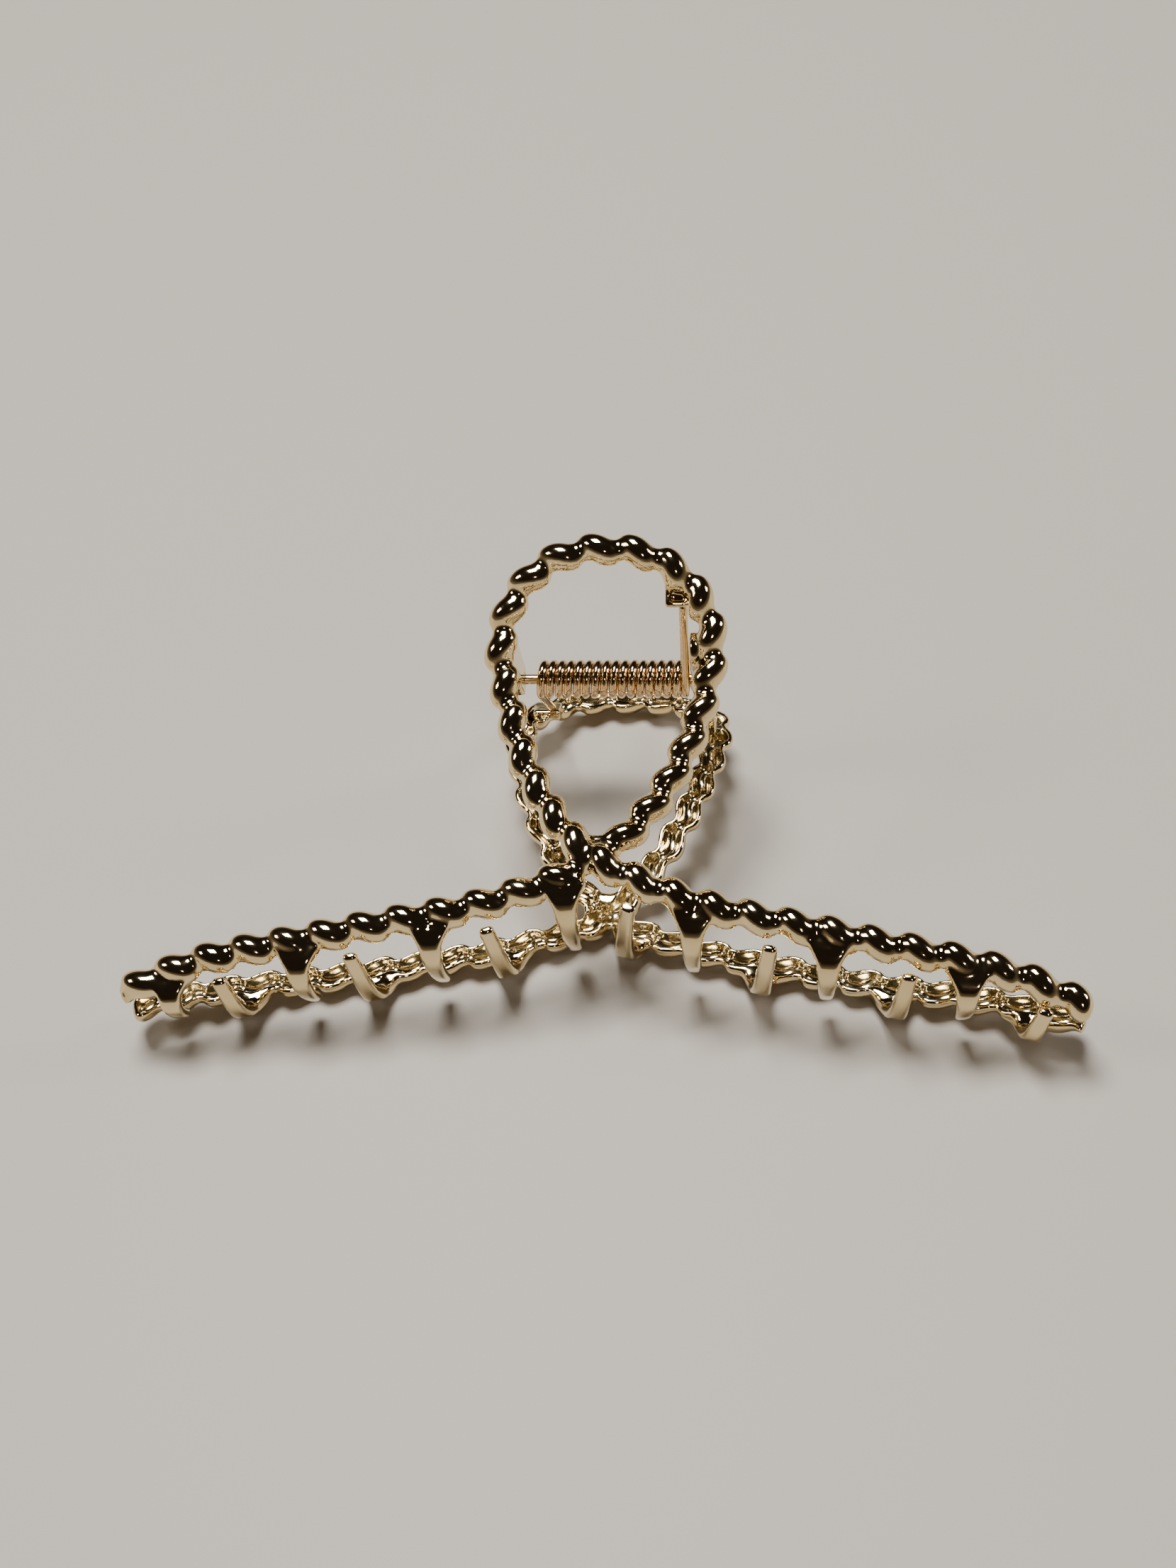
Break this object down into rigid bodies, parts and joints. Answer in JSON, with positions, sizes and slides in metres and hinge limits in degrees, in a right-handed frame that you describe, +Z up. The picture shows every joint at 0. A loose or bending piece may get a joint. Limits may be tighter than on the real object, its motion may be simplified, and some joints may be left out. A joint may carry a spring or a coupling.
{
  "type": "claw clip",
  "caption": "Metal claw hair clip: two twisted-rope jaws, each a loop handle with crossed toothed arms, hinged on a pin and closed by a torsion spring.",
  "frame": {"origin": "on the surface that the clip lies on, under the middle of its bounding box", "axes": "+X along the hinge pin and the arms, +Y from the teeth to the handle loops, +Z up from the surface; the rear jaw lies on the surface and the front jaw is above it"},
  "size_m": [0.1102, 0.0588, 0.0362],
  "materials": {
    "gold_plating": "mirror-polished yellow gold plating on cast zinc alloy",
    "plated_pin": "gold-plated steel pin, slightly duller than the castings",
    "spring_wire": "gold-plated drawn spring steel wire"
  },
  "bodies": {
    "rear_jaw": {"rear_loop": "gold_plating", "rear_left_arm": "gold_plating", "rear_right_arm": "gold_plating", "rear_tooth_1": "gold_plating", "rear_tooth_2": "gold_plating", "rear_tooth_3": "gold_plating", "rear_tooth_4": "gold_plating", "rear_tooth_5": "gold_plating", "rear_tooth_6": "gold_plating", "rear_tooth_7": "gold_plating", "rear_left_ear": "gold_plating", "rear_right_ear": "gold_plating", "rear_spring_ledge": "gold_plating", "hinge_pin": "plated_pin", "torsion_spring": "spring_wire"},
    "front_jaw": {"front_loop": "gold_plating", "front_left_arm": "gold_plating", "front_right_arm": "gold_plating", "front_tooth_1": "gold_plating", "front_tooth_2": "gold_plating", "front_tooth_3": "gold_plating", "front_tooth_4": "gold_plating", "front_tooth_5": "gold_plating", "front_tooth_6": "gold_plating", "front_tooth_7": "gold_plating", "front_left_ear": "gold_plating", "front_right_ear": "gold_plating", "front_spring_ledge": "gold_plating"}
  },
  "joints": [
    {"name": "jaw_hinge", "type": "hinge", "parent": "rear_jaw", "child": "front_jaw", "pos_m": [0, 0.0161, 0.01642], "axis": [-1, 0, 0], "range_deg": [0, 65], "stiffness_Nm_per_rad": 0.06, "springref_deg": -114.59, "deforming": ["torsion_spring"]}
  ]
}
